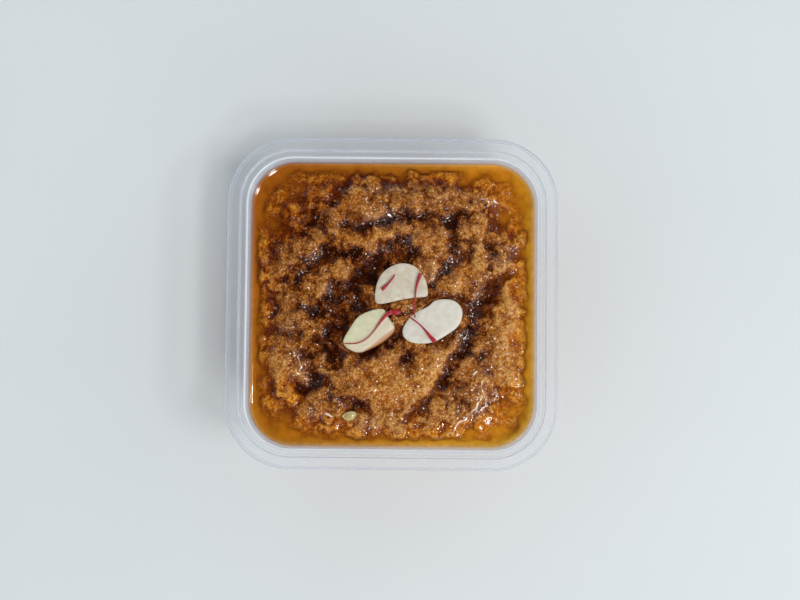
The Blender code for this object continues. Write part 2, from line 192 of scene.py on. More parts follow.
def bump(height, distance, strength=1.0, normal=None):
    """A bump whose full height is distance millimetres."""
    inputs = {"Strength": strength, "Distance": distance * MM, "Height": height}
    if normal:
        inputs["Normal"] = normal
    return add_node("Bump", inputs).outputs["Normal"]

# %% [markdown]
# Helpers for meshes
#
# A mesh built from arrays is quick, and the same every run. Each piece is then put on the
# tub's one body, takes the place of its plain solid, and gets its own material.

# %% Mesh helpers
def mesh_from(name, points, faces):
    """A mesh in metres from points in millimetres."""
    mesh = bpy.data.meshes.new(name)
    mesh.from_pydata((np.asarray(points) * MM).tolist(), [], faces)
    mesh.shade_smooth()
    return mesh


def add_values(mesh, name, values):
    """One number a vertex, which a material reads by its name."""
    layer = mesh.attributes.new(name, "FLOAT", "POINT")
    layer.data.foreach_set("value", np.asarray(values, np.float32).ravel())


def add_piece(mesh, material, node=None):
    mesh.materials.clear()
    mesh.materials.append(material)
    piece = into_scene(mesh.name, mesh)
    if node:
        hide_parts(node)
    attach(piece, "root")
    print(mesh.name, len(mesh.vertices), "points", len(mesh.polygons), "faces")


def bridge(lower, upper):
    """Quads between two closed rings, given as lists of point numbers."""
    after = np.roll(lower, -1)
    return np.stack([lower, after, np.roll(upper, -1), upper], axis=1).tolist()

# %% [markdown]
# The floor and the light
#
# The tub stands on a plain pale table. Its two soft shadows say where the light comes
# from: two soft lamps to the right and in front, and a strong glow from the rest of the
# room. Straight above it is darker, and that is why wet surfaces keep their deep colour.
# Two disc lamps and a world colour that fades overhead make the same shadows.

# %% Floor
FLOOR_HALF = 2500.0
FLOOR_Z = -0.05
TABLE_COLOURS = [(0.3, 0.77, 0.80, 0.81), (0.7, 0.81, 0.84, 0.85)]

floor_corners = [(-FLOOR_HALF, -FLOOR_HALF, FLOOR_Z), (FLOOR_HALF, -FLOOR_HALF, FLOOR_Z),
                 (FLOOR_HALF, FLOOR_HALF, FLOOR_Z), (-FLOOR_HALF, FLOOR_HALF, FLOOR_Z)]
floor_mesh = mesh_from("table_top", floor_corners, [(0, 1, 2, 3)])
table = new_material("pale table")
tone = weighted(0.0, [(noise(120.0, 2.0), 0.8), (noise(1.5, 4.0), 0.2)])
finish(table, Base_Color=colour_ramp(tone, TABLE_COLOURS), Roughness=0.6)
floor_mesh.materials.append(table)
floor = into_scene("table_top", floor_mesh)
print("table", 2.0 * FLOOR_HALF * MM, "m wide")

# %% Lights
LAMP_DISTANCE = 2.1
LAMP_SIZE = 0.30
LAMP_COLOUR = (1.0, 0.985, 0.96)
# Direction to each lamp, and its power in watts
LAMPS = {"lamp_right": ((0.7, -0.15, 1.0), 9.4), "lamp_front": ((0.325, -0.475, 1.0), 11.4)}
OVERHEAD = (0.07, 0.075, 0.08)
AROUND = (1.05, 1.14, 1.21)
# Height on the sky where it starts to darken, and where it is darkest
FADE = (0.42, 0.84)

for name, (direction, power) in LAMPS.items():
    lamp_data = bpy.data.lights.new(name, "AREA")
    lamp_data.shape = "DISK"
    lamp_data.size = LAMP_SIZE
    lamp_data.energy = power
    lamp_data.color = LAMP_COLOUR
    lamp = into_scene(name, lamp_data)
    towards = Vector(direction).normalized()
    lamp.location = towards * LAMP_DISTANCE
    lamp.rotation_euler = towards.to_track_quat("Z", "Y").to_euler()
world = bpy.data.worlds.new("room glow")
world.use_nodes = True
bench["tree"] = world.node_tree
sky = add_node("SeparateXYZ", {0: add_node("TexCoord").outputs["Generated"]})
glow = blend_colours(remap(sky.outputs["Z"], *FADE), AROUND, OVERHEAD)
plug(world.node_tree.nodes["Background"].inputs["Color"], glow)
bpy.context.scene.world = world
print("lamps:", sorted(LAMPS))

# %% [markdown]
# The tub
#
# A thermoformed tub is one thin sheet: foot, wall, ledge for the lid, flange and a short
# lip. Its section is the same all the way round, so it is one profile swept round a
# rounded square. The profile is drawn with plain corners and each is then rounded by a
# short arc, because on clear plastic the rounded edges are nearly all that is seen.

# %% Section of the tub
RIM_HALF = 52.0
RIM_CORNER = 20.5
RIM_TOP = 40.0
WALL = 0.8
FLANGE_WIDTH = 4.4
LIP_DROP = 2.6
LEDGE_TOP = 38.0
MOUTH_HALF = 45.7
MOUTH_Z = 37.4
DRAFT = math.tan(math.radians(4.0))
FLOOR_TOP = 1.3
FOOT_RECESS = 0.5
BEND_Z = 3.4


def wall_half(height):
    """Half the tub's inner width at a height."""
    return MOUTH_HALF - (MOUTH_Z - height) * DRAFT


def tub_corners():
    """Half width, height and rounding of each corner of the section, from the foot up and over."""
    inner = wall_half(BEND_Z)
    outer = inner + WALL
    step = RIM_HALF - FLANGE_WIDTH
    return [
        (outer - 6.0, FOOT_RECESS, 0.3), (outer - 5.6, 0.0, 0.3), (outer - 0.4, 0.0, 2.4),
        (wall_half(LEDGE_TOP - WALL) + WALL, LEDGE_TOP - WALL, 0.8),
        (step + WALL, LEDGE_TOP - WALL, 0.5), (step + WALL, RIM_TOP - WALL, 0.5),
        (RIM_HALF - WALL, RIM_TOP - WALL, 0.5), (RIM_HALF - WALL, RIM_TOP - LIP_DROP, 0.2),
        (RIM_HALF, RIM_TOP - LIP_DROP, 0.2), (RIM_HALF, RIM_TOP, 0.6),
        (step, RIM_TOP, 0.5), (step - 0.5, LEDGE_TOP, 0.5),
        (MOUTH_HALF + 0.04, LEDGE_TOP, 0.75), (inner - 0.15, FLOOR_TOP, 2.2), (inner - 4.0, FLOOR_TOP, 0.0)]


def rounded_section(corners, steps=5):
    """Each corner becomes a short smooth curve between points on its two sides."""
    section = [corners[0][:2]]
    for before, here, after in zip(corners, corners[1:], corners[2:]):
        place = np.array(here[:2])
        to_before = np.array(before[:2]) - place
        to_after = np.array(after[:2]) - place
        reach = min(here[2], 0.48 * np.linalg.norm(to_before), 0.48 * np.linalg.norm(to_after))
        start = place + to_before / np.linalg.norm(to_before) * reach
        end = place + to_after / np.linalg.norm(to_after) * reach
        for t in np.linspace(0.0, 1.0, steps):
            section.append(tuple((1 - t) ** 2 * start + 2 * t * (1 - t) * place + t * t * end))
    return section + [corners[-1][:2]]


section = rounded_section(tub_corners())
print("section points:", len(section))

# %% Sweep it round the rounded square
CORNER_STEPS = 24
SIDE_STEPS = 6
QUARTER = math.pi / 2.0
SHARP_EDGE = math.radians(50.0)
# Places on the section whose edge gets a painted glow: half width, height, reach, amount
BRIGHT_EDGES = ((46.0, 37.9, 0.42, 0.85), (47.5, 39.9, 0.35, 0.45),
                (51.9, 39.8, 0.3, 0.35), (51.6, 37.4, 0.4, 0.3))


def way(turn):
    """A step of length one in the direction of an angle."""
    return np.array((math.cos(turn), math.sin(turn)))


def square_ring(half, height):
    """Points round a rounded square, anticlockwise. All corners share one middle."""
    corner = RIM_CORNER - (RIM_HALF - half)
    straight = half - corner
    ring = []
    for quarter in range(4):
        start = quarter * QUARTER
        middle = straight * math.sqrt(2.0) * way(start + QUARTER / 2.0)
        for step in range(CORNER_STEPS + 1):
            ring.append((*(middle + corner * way(start + step / CORNER_STEPS * QUARTER)), height))
        last = np.array(ring[-1][:2])
        for step in range(1, SIDE_STEPS):
            along = way(start + 2.0 * QUARTER) * 2.0 * straight * step / SIDE_STEPS
            ring.append((*(last + along), height))
    return ring


def sweep(rings):
    """Points and faces of a closed shape made of rings, with its two ends filled."""
    numbers = np.arange(len(rings) * len(rings[0])).reshape(len(rings), -1)
    faces = [numbers[0][::-1].tolist()]
    for lower, upper in zip(numbers, numbers[1:]):
        faces += bridge(lower, upper)
    faces.append(numbers[-1].tolist())
    return np.concatenate(rings), faces


def edge_glow(half, height):
    return max(amount * math.exp(-((half - mid) ** 2 + (height - level) ** 2) / size ** 2)
               for mid, level, size, amount in BRIGHT_EDGES)


tub_rings = [square_ring(half, height) for half, height in section]
tub_mesh = mesh_from("clear_tub", *sweep(tub_rings))
tub_mesh.set_sharp_from_angle(angle=SHARP_EDGE)
# Painted glow on the rounded edges, one value for each ring of the section
edge_values = [edge_glow(half, height) for half, height in section]
add_values(tub_mesh, "edge", np.repeat(edge_values, len(tub_rings[0])))
print("points in a ring:", len(tub_rings[0]))

# %% [markdown]
# Clear plastic
#
# The tub's plastic is clear with a faint blue haze. Alpha lets the table and its shadow
# show through, and Fresnel raises it where the wall is seen at a low angle. A rounded edge
# pipes light along the sheet and glows. That glow is painted in: a value on the mesh marks
# the edges and makes them whiter and less clear. A little bump makes the moulded surface less perfect.

# %% Finish of the tub
HAZE = [(0.3, 0.70, 0.75, 0.84), (0.7, 0.78, 0.83, 0.91)]
PAINTED_EDGE_GLOW = (0.97, 0.98, 1.0)
CLEAR_FLAT = 0.07
CLEAR_STEEP = 0.70

plastic = new_material("clear plastic")
tint = colour_ramp(noise(14.0, 3.0), HAZE)
facing = add_node("LayerWeight", {"Blend": 0.25}).outputs["Fresnel"]
clear = remap(facing, 0.0, 1.0, CLEAR_FLAT, CLEAR_STEEP)
# Painted edge glow: the marked edges are whitened and made less clear
finish(plastic, Base_Color=blend_colours("edge", tint, PAINTED_EDGE_GLOW), Roughness=0.14, IOR=1.49,
       Alpha=weighted(clear, [("edge", 0.75)]), Normal=bump(noise(6.0, 2.0), 0.05, 0.4))
add_piece(tub_mesh, plastic, "tub")

# %% [markdown]
# Reading the solid's height
#
# The sweet's new surface keeps the form of its solid. Rays cast down on a raster give the
# solid's height, and a blur takes its flat facets away. On a raster every later step is a
# sum of plain arrays: lumps, creases, grains, and how hollow each place is.

# %% Height of the solid on a raster
RASTER_STEP = 0.24
RASTER_HALF = 47.0
TOP_EDGE_HALF = 44.2
CAST_FROM = 60.0

raster_line = np.arange(-RASTER_HALF, RASTER_HALF + RASTER_STEP / 2, RASTER_STEP)
raster_x, raster_y = np.meshgrid(raster_line, raster_line)


def square_reach(angle, half):
    """Distance from the middle to a rounded square, in each direction."""
    corner = RIM_CORNER - (RIM_HALF - half)
    across = np.maximum(np.abs(np.cos(angle)), np.abs(np.sin(angle)))
    along = np.minimum(np.abs(np.cos(angle)), np.abs(np.sin(angle)))
    straight = half - corner
    middle = straight * (across + along)
    rounded = middle + np.sqrt(np.maximum(middle ** 2 - 2.0 * straight ** 2 + corner ** 2, 0.0))
    return np.where(half * along <= straight * across, half / across, rounded)


def around(reach, angle):
    return reach * np.cos(angle), reach * np.sin(angle)


def wall_gap(x, y, half):
    """Distance to the tub's wall from inside."""
    corner = RIM_CORNER - (RIM_HALF - half)
    over_x = np.abs(x) - (half - corner)
    over_y = np.abs(y) - (half - corner)
    outside = np.hypot(np.maximum(over_x, 0.0), np.maximum(over_y, 0.0))
    return corner - outside - np.minimum(np.maximum(over_x, over_y), 0.0)


def ray_tree(node):
    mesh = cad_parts[node].data
    faces = [tuple(face.vertices) for face in mesh.polygons]
    return BVHTree.FromPolygons([vertex.co.copy() for vertex in mesh.vertices], faces)


def cast(tree, x, y, start, down=True):
    """Height in millimetres where a ray meets the solid, or nan."""
    heading = Vector((0.0, 0.0, -1.0 if down else 1.0))
    origins = [Vector((px * MM, py * MM, start * MM)) for px, py in zip(x.ravel(), y.ravel())]
    hits = [tree.ray_cast(origin, heading)[0] for origin in origins]
    return np.array([hit.z / MM if hit else math.nan for hit in hits]).reshape(x.shape)


angle = np.arctan2(raster_y, raster_x)
reach = np.hypot(raster_x, raster_y)
keep = np.minimum(1.0, square_reach(angle, TOP_EDGE_HALF) / np.maximum(reach, 0.001))
solid_height = cast(ray_tree("mohanthal"), raster_x * keep, raster_y * keep, CAST_FROM)
print(f"solid from {np.nanmin(solid_height):.2f} to {np.nanmax(solid_height):.2f} mm")

# %% Raster tools
def blur(field, size):
    """Gaussian blur by size millimetres."""
    width = size / RASTER_STEP
    pad = int(3.0 * width) + 1
    wide = np.pad(field, pad, mode="edge")
    freq_y = np.fft.fftfreq(wide.shape[0])[:, None]
    freq_x = np.fft.rfftfreq(wide.shape[1])[None, :]
    soften = np.exp(-2.0 * (math.pi * width) ** 2 * (freq_x ** 2 + freq_y ** 2))
    return np.fft.irfft2(np.fft.rfft2(wide) * soften, s=wide.shape)[pad:-pad, pad:-pad]


def ease(value, low, high):
    share = np.clip((value - low) / (high - low), 0.0, 1.0)
    return share * share * (3.0 - 2.0 * share)


def lattice(size, seed, x, y):
    """A lattice turned at random, so that no pattern lines up with the tub.

    Its random source, its count, and each place's cell and part of a cell."""
    random = np.random.default_rng(seed)
    turn = random.uniform(0.0, math.tau)
    turned = np.stack([x * math.cos(turn) - y * math.sin(turn), x * math.sin(turn) + y * math.cos(turn)])
    place = (turned + 2.0 * RASTER_HALF) / size
    cell = np.floor(place).astype(int)
    return random, int(4.0 * RASTER_HALF / size) + 4, cell, place - cell


def clouds(size, seed, x=raster_x, y=raster_y):
    """Smooth gradient noise from about -1 to 1, with blobs of size millimetres."""
    random, count, cell, part = lattice(size, seed, x, y)
    turns = random.uniform(0.0, math.tau, (count, count))
    smooth = part ** 3 * (part * (6.0 * part - 15.0) + 10.0)
    shares = (1.0 - smooth, smooth)
    total = 0.0
    for step_x in (0, 1):
        for step_y in (0, 1):
            turn = turns[(cell[1] + step_y) % count, (cell[0] + step_x) % count]
            slope = np.cos(turn) * (part[0] - step_x) + np.sin(turn) * (part[1] - step_y)
            total = total + slope * shares[step_x][0] * shares[step_y][1]
    return total * 1.5


def grains(size, seed, x=raster_x, y=raster_y):
    """Round bumps of about size millimetres packed at random, from 0 between them to 1 on top."""
    random, count, cell, part = lattice(size, seed, x, y)
    shift = random.uniform(0.08, 0.92, (2, count, count))
    height = random.uniform(0.55, 1.0, (count, count))
    best = np.zeros(x.shape)
    for step_x in (-1, 0, 1):
        for step_y in (-1, 0, 1):
            column = (cell[0] + step_x) % count
            row = (cell[1] + step_y) % count
            gap_x = part[0] - step_x - shift[0, row, column]
            gap_y = part[1] - step_y - shift[1, row, column]
            best = np.maximum(best, height[row, column] - 1.3 * (gap_x ** 2 + gap_y ** 2))
    return best


def pick(field, x, y):
    """The raster's value at any place, between its four nearest points."""
    place = np.clip((np.stack([x, y]) + RASTER_HALF) / RASTER_STEP, 0, len(field) - 1.001)
    column, row = place.astype(int)
    part_x, part_y = place - (column, row)
    lower = field[row, column] * (1 - part_x) + field[row, column + 1] * part_x
    upper = field[row + 1, column] * (1 - part_x) + field[row + 1, column + 1] * part_x
    return lower * (1 - part_y) + upper * part_y


def line_distance(points, x, y):
    """Distance to a line through points."""
    nearest = np.full(x.shape, np.inf)
    for (ax, ay), (bx, by) in zip(points, points[1:]):
        run_x = bx - ax
        run_y = by - ay
        share = np.clip(((x - ax) * run_x + (y - ay) * run_y) / (run_x ** 2 + run_y ** 2), 0.0, 1.0)
        nearest = np.minimum(nearest, np.hypot(x - ax - share * run_x, y - ay - share * run_y))
    return nearest


print("raster", raster_x.shape)

# %% [markdown]
# The relief of the sweet
#
# A spoon pushes the grainy mass up into soft folds with narrow creases between them. The
# solid has the folds. What is seen on them was measured from above and is kept as named
# lines. A soft brush along each line puts its value on the raster, bent by smooth noise.

# %% Where the creases, colours and wet places lie
# Creases: line, half width, depth
CREASES = {
    "left": (((-21, 16.5), (-27, 13), (-30.5, 7)), 1.1, 0.7),
    "top": (((-22, 27), (-12, 25.5), (-2, 26.5), (6, 28.5), (14, 27.5), (19.5, 26)), 0.9, 0.3),
    "inner": (((19, 26), (20.5, 20), (20, 15), (17, 11), (15, 8.5)), 1.0, 0.5),
    "hook": (((31, 26), (31.5, 18), (30.5, 12)), 1.0, 0.6),
    "valley": (((37, 9), (32, 5.5), (28, -3.5), (25, -10), (22, -14), (19, -18), (18, -23),
                (13, -28), (9, -33), (4, -38)), 1.2, 0.7)}
# Where the mass is smoother and more golden: line, half width, amount
GOLD = {
    "heart": (((-5, -23), (0, -29), (9, -27), (14, -20)), 7.5, 1.0),
    "right slope": (((36, 3), (38, -10), (35, -22)), 6.0, 0.9),
    "left corner": (((-38, -19), (-34, -26)), 4.5, 0.9),
    "second fold": (((-17, 21), (-8, 21), (0, 22.5)), 2.6, 0.8),
    "left lump": (((-24, 9), (-19, 9)), 3.2, 0.5),
    "hook": (((26, 24), (27.5, 16), (25, 11.5)), 2.6, 0.6),
    "hook foot": (((21, 12), (22, 6)), 3.0, 0.8),
    "inner lump": (((12, 23), (14, 17), (13, 11)), 4.0, 0.45),
    "top": (((-14, 32), (-8, 29)), 4.0, 0.5)}
# Where shade is painted darkest, and the surface sunk a little: line, half width, amount
SHADES = {
    "crescent": (((-8, 8), (-11, 3), (-14, -2), (-17, -6)), 5.4, 1.4),
    "under second fold": (((-18, 17), (-8, 15.5), (2, 14.5)), 2.8, 1.0),
    "second fold end": (((3.5, 19), (8.5, 24)), 1.6, 0.35),
    "top groove": (((-22, 34.5), (-17, 33)), 2.4, 0.42),
    "back corner": (((-37, 25), (-35, 29), (-31, 24.5), (-27, 31)), 3.0, 0.9),
    "left crease": (((-26, 17), (-21, 13.5)), 2.0, 0.45),
    "left pit": (((-30.5, 10.5), (-27.5, 6)), 2.6, 0.56),
    "top crease": (((-17, 28), (-5, 26.5), (3, 27), (12, 27)), 1.5, 0.12),
    "inner crease": (((20, 26.5), (21.5, 17.6), (17.5, 13), (16, 10)), 1.5, 0.3),
    "hook crease": (((28.5, 27), (30.5, 22), (30.5, 15)), 1.8, 0.3),
    "back right": (((34, 29.5), (39, 25)), 3.0, 0.5),
    "valley top": (((26.5, 8.5), (31, 4.5), (35, 6.5), (38, 10)), 2.3, 0.63),
    "valley": (((32, 3), (27.5, -3), (25.5, -9), (23.5, -14)), 2.8, 0.9),
    "valley foot": (((19, -19.5), (16.5, -25), (12, -31), (17, -33.5)), 1.9, 0.3),
    "between slices": (((12, 5.5), (12.5, 1.5)), 1.7, 0.4),
    "under right slice": (((2, -12), (5.5, -17.5)), 2.0, 0.3),
    "left low valley": (((-21.5, -8), (-19.5, -14)), 2.2, 0.7),
    "heart pit": (((-9, -17), (-7.5, -21)), 1.8, 0.45),
    "low left": (((-27, -17.5), (-23.5, -23), (-18.5, -23)), 2.0, 0.3),
    "corner pit": (((-31, -27), (-28.5, -28.5)), 2.2, 0.56),
    "chip pit": (((-18, -34), (-14, -31), (-10, -33)), 1.7, 0.3),
    "slope pit": (((31, -21), (32.5, -22.5)), 1.5, 0.3),
    "front right": (((33, -28.5), (38, -31)), 2.2, 0.35)}
# Where ghee has gathered and shines: line, half width
SHINE = (
    (((-7, 29.5), (-1, 26.5)), 2.2), (((-1.5, 37.5), (1.5, 36.8)), 1.3),
    (((-27, 14), (-24, 16)), 1.6), (((-22, 5), (-20, 4)), 1.4), (((-6, 17), (-1, 17.2)), 1.3),
    (((4, 19.5), (7.5, 22.5)), 1.3), (((21, 16.5), (17.5, 10.5)), 1.4),
    (((12, 13.5), (13, 8.5)), 1.6), (((27.4, 33.9), (34, 34), (34, 29.4)), 1.2),
    (((31.8, 15), (35.5, 12.5)), 1.2), (((39.3, 17.9), (38, 15)), 1.0),
    (((28, 7), (26.5, -2.5)), 1.8), (((24, -10), (21, -13)), 1.8),
    (((30.6, -19), (30.6, -22)), 1.8),
    (((28.7, -27.5), (30.6, -33.2), (23.6, -36.4), (19.8, -40.3)), 1.3),
    (((-30, -16.5), (-29.5, -22.5)), 1.8), (((-31.7, -6.4), (-36, -8)), 1.4),
    (((-25, -34.5), (-22.5, -35.5)), 1.6), (((-19, -30.5), (-16.5, -32.5)), 1.5),
    (((-9, -39), (-7, -40.5)), 1.3), (((14, -15), (17, -21)), 1.5))
# Thin ridges of ghee that catch the light as lines, each with a painted highlight line along it
STREAKS = (
    ((28.4, -24.1), (29.4, -28.9), (27.5, -32.1), (24.0, -36.2), (20.4, -38.8), (19.8, -40.7)),
    ((33.0, -26.9), (34.0, -28.9), (32.7, -30.4)), ((30.1, -30.8), (30.9, -32.7), (28.4, -34.0)),
    ((31.7, -35.6), (31.3, -37.5), (29.9, -37.6)), ((24.6, -23.4), (25.8, -21.8), (29.4, -20.9)),
    ((15.3, -43.6), (17.2, -42.0), (19.8, -41.0)), ((-42.3, 37.0), (-41.6, 39.4), (-40.2, 41.2)),
    ((-35.9, 41.4), (-33.0, 41.9)), ((-29.6, -17.0), (-29.0, -20.0), (-30.4, -22.6)),
    ((-21.0, -35.4), (-18.6, -36.0)), ((-1.3, 28.6), (0.8, 27.7)), ((24.4, -8.4), (23.2, -10.4)),
    ((28.2, 34.4), (31.4, 34.9), (33.6, 33.2)), ((21.6, 17.6), (20.5, 14.2)))
# Shelves sunk in the back left and front right corners: line, half width, depth under the ghee
SHELVES = ((((-38, 22), (-33, 31), (-22, 38)), 7.0, 0.9),
           (((24, -42), (33, -37.5), (40, -31)), 4.5, 1.3), (((36, -41), (42, -36)), 4.0, 3.0))
WANDER = 1.5
SMALL_WANDER = 0.5
SHADE_SPREAD = 1.7

wander_x = raster_x + WANDER * clouds(5.0, 31) + SMALL_WANDER * clouds(1.8, 33)
wander_y = raster_y + WANDER * clouds(5.0, 32) + SMALL_WANDER * clouds(1.8, 34)


def mark(points, half_width, amount=1.0):
    """A soft line, bent by the noise: amount along it, and less away from it."""
    return amount * np.exp(-((line_distance(points, wander_x, wander_y) / half_width) ** 2))


gold_value = np.clip(sum(mark(*spot) for spot in GOLD.values()), 0.0, 1.0)
# The dark marks are painted shade; they also sink the surface a little and make it less wet
shade_sum = sum(mark(points, SHADE_SPREAD * width, amount) for points, width, amount in SHADES.values())
shade_value = 1.0 - np.exp(-1.3 * shade_sum)
shine_value = np.clip(sum(mark(*spot) for spot in SHINE), 0.0, 1.0)
print(f"golden share {gold_value.mean():.2f}, dark share {shade_value.mean():.2f}")

# %% [markdown]
# Crumbs
#
# A crumbly mass heaps up as round lumps that meet in creases. Packed domes of three sizes
# make them, and noise decides where the mass is smooth. Domes of about a millimetre are
# the grains. Shelves lie just under the ghee in two corners, and along the wall everything
# fades into one wavy edge, which the side of the sweet starts from.

# %% Creases, lumps and grains
# Round lumps: size, height, seed
LUMPS = ((8.0, 3.4, 11), (4.6, 2.9, 12), (2.3, 1.2, 13))
GRAINS = ((1.2, 0.5, 21), (0.8, 0.36, 22))
SWELLS = ((11.0, 0.5, 51), (6.0, 0.55, 52))
CREASE_SHARE = 0.75
SHADE_DEPTH = 0.35
GHEE_LEVEL = 30.5
SHELF_RELIEF = 1.0
# Height at which the sweet meets the wall under the ghee, and how far both run into the wall
EDGE_Z = 24.2
INTO_WALL = 0.3

form = pick(blur(solid_height, 0.6), wander_x, wander_y)
broken = ease(clouds(3.5, 35), -0.4, 0.5)
for points, half_width, depth in CREASES.values():
    form = form - CREASE_SHARE * broken * mark(points, half_width, depth)
form = form - SHADE_DEPTH * shade_value
for size, height, seed in SWELLS:
    form = form + height * clouds(size, seed)
for points, half_width, depth in SHELVES:
    shelf = np.minimum(1.3 * mark(points, half_width), 1.0)
    floor_z = GHEE_LEVEL - depth
    form = form * (1.0 - shelf) + shelf * np.clip(form, floor_z, floor_z + SHELF_RELIEF)
lumpy = form.copy()
for size, height, seed in LUMPS:
    crumbly = (0.5 + 0.5 * ease(clouds(8.0, seed + 20), -0.4, 0.4)) * (1.0 - 0.5 * gold_value)
    lumpy += height * crumbly * (blur(grains(size, seed, wander_x, wander_y), 0.05 * size) - 0.5)
grainy = np.zeros(lumpy.shape)
for size, height, seed in GRAINS:
    grainy += height * (grains(size, seed) - 0.5)
edge_half = wall_half(EDGE_Z) + INTO_WALL
by_wall = ease(wall_gap(raster_x, raster_y, edge_half) + 0.3 * clouds(3.0, 83), 0.2, 1.5)
edge_height = EDGE_Z + 0.9 * clouds(9.0, 81) + 0.6 * clouds(3.5, 82)
lumpy = lumpy * by_wall + edge_height * (1.0 - by_wall)
grainy = grainy * by_wall
print(f"lumps add {np.ptp(lumpy - form):.2f} mm")

# %% [markdown]
# Room for the garnish
#
# Lumps must not come up through a slice of almond or a strand. Rays cast up from below
# give the underside of each one, and the surface is kept just under it.

# %% Keep the sweet under the garnish
UNDER_LID = 0.15
BOX_MARGIN = 0.5
RAYS_FROM = 20.0

lid = np.full(raster_x.shape, np.inf)
for name in sorted(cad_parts):
    if name.startswith(("almond", "saffron", "nut")):
        low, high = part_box(name)
        rows, columns = [
            slice(*np.searchsorted(raster_line, (low[axis] / MM - BOX_MARGIN, high[axis] / MM + BOX_MARGIN)))
            for axis in (1, 0)]
        under = cast(ray_tree(name), raster_x[rows, columns], raster_y[rows, columns], RAYS_FROM, down=False)
        lid[rows, columns] = np.fmin(lid[rows, columns], under)
crumbs = np.minimum(lumpy + grainy, lid + UNDER_LID)
smooth_surface = blur(np.minimum(lumpy, lid + UNDER_LID), 0.45)
print(f"crumbs from {crumbs.min():.2f} to {crumbs.max():.2f} mm")

# %% [markdown]
# A film of ghee between the grains
#
# Warm ghee clings between the grains and sags smoothly from one to the next, and only that
# smooth film can throw a highlight wide enough to see. A blurred copy of the surface,
# lowered a little, is such a film: where it lies above the grains, it takes their place.
# Along the streaks it is drawn up into thin beaded ridges. The distance to them is kept,
# because the finish paints a pale highlight line there, finer than the cells of the mesh.

# %% Lay the film
FILM_SOFT = 0.06
FILM_DROP = 0.85
STREAK_HEIGHT = 0.2
STREAK_WIDTH = 0.5
STREAK_WANDER = 0.8

gathered = np.clip(0.5 * ease(clouds(3.5, 71), 0.0, 0.4) + shine_value, 0.0, 1.0)
film = blur(crumbs, 1.1) - FILM_DROP + 0.4 * gathered + 0.4 * shine_value * clouds(1.7, 72)
streak_x = raster_x + STREAK_WANDER * clouds(3.0, 73)
streak_y = raster_y + STREAK_WANDER * clouds(3.0, 74)
streak_gap = np.min([line_distance(points, streak_x, streak_y) for points in STREAKS], axis=0)
beads = 0.75 + 0.25 * ease(clouds(1.6, 75), -0.2, 0.3)
glaze_value = 1.0 - ease(streak_gap, 0.3, 0.8)
film = film * (1.0 - glaze_value) + glaze_value * (blur(crumbs, 0.9) + 0.1)
film = film + STREAK_HEIGHT * beads * np.exp(-((streak_gap / STREAK_WIDTH) ** 2))
# Distance to the painted highlight lines, broken into beads by noise
highlight_line_gap = np.minimum(streak_gap, 3.0) + 0.3 * (1.0 - ease(clouds(2.2, 76), -0.5, -0.1))
surface = np.minimum(FILM_SOFT * np.logaddexp(crumbs / FILM_SOFT, film / FILM_SOFT), lid + UNDER_LID)
wet_value = np.clip(0.20 + 0.75 * gathered - 0.25 * shade_value + 0.3 * glaze_value, 0.08, 1.0)
print(f"wet share {wet_value.mean():.2f}")

# %% [markdown]
# The shore
#
# The shore is where the mass comes up through the level ghee. It is looked for from the
# wall inwards in each direction. The finish needs it as well as the ghee: the painted shade
# of dark hollows belongs to the dry side, orange to the soaked side, and a painted shade
# lies along the shore itself.

# %% Find the shore
POOL_STEPS = 900
PROBE_DEPTH = 22.0
DRY_ABOVE = 0.25

pool_angle = np.linspace(0.0, math.tau, POOL_STEPS, endpoint=False)
wall_reach = square_reach(pool_angle, wall_half(GHEE_LEVEL) + INTO_WALL)
inward = np.linspace(0.0, PROBE_DEPTH, 120)[:, None]
probe_height = pick(blur(smooth_surface, 0.6), *around(wall_reach[None, :] - inward, pool_angle))
first_dry = np.argmax(probe_height > GHEE_LEVEL + DRY_ABOVE, axis=0)
shore_reach = np.minimum(wall_reach - inward[first_dry, 0], wall_reach - 1.0)
window = np.hanning(41) / np.hanning(41).sum()
shore_reach = np.convolve(np.tile(shore_reach, 3), window, "same")[POOL_STEPS:-POOL_STEPS]
inland = np.interp(angle, pool_angle, shore_reach, period=math.tau) - reach
print(f"shore from {shore_reach.min():.1f} to {shore_reach.max():.1f} mm")

# %% [markdown]
# What the finish needs to know
#
# A procedural colour becomes believable when it knows the shape. Blurs of the surface tell
# how hollow each place is, rays along it tell how shut in it is, and shade is painted into
# the colour there. The distance to the shore tells how far the mass is soaked and where a
# painted shade lies along the shore.

# %% How shut in each place is
TURNS = 12
STEPS = (0.5, 1.0, 1.7, 2.8, 4.5, 7.0)


def shut_in(height):
    """Share of the sky that the surface around hides from each place."""
    total = np.zeros(height.shape)
    for turn in np.arange(TURNS) / TURNS * math.tau:
        steepest = np.zeros(height.shape)
        for step in STEPS:
            there = pick(height, raster_x + step * math.cos(turn), raster_y + step * math.sin(turn))
            steepest = np.maximum(steepest, (there - height) / step)
        total += steepest ** 2 / (1.0 + steepest ** 2)
    return total / TURNS


occluded = shut_in(blur(surface, 0.25))
print("shut in, tenths:", np.percentile(occluded[inland > 3.0], (10, 50, 90, 98)).round(2).tolist())

# %% Values for the finish
sunken, between, lobe_value = [
    blur(surface, wide) - blur(surface, fine) for wide, fine in ((6.0, 1.6), (1.5, 0.35), (3.2, 0.9))]
# Painted shade along the shore, heavier towards the back left, away from the lamps
far_side = np.clip(0.5 - (raster_x - 0.6 * raster_y) / 120.0, 0.0, 1.0)
shore_shade = (0.4 + 1.2 * far_side) * np.exp(-((inland / 2.4) ** 2)) * ease(clouds(6.0, 62), -0.7, 0.3)
off_wall = ease(wall_gap(raster_x, raster_y, wall_half(GHEE_LEVEL)), 0.5, 3.0)
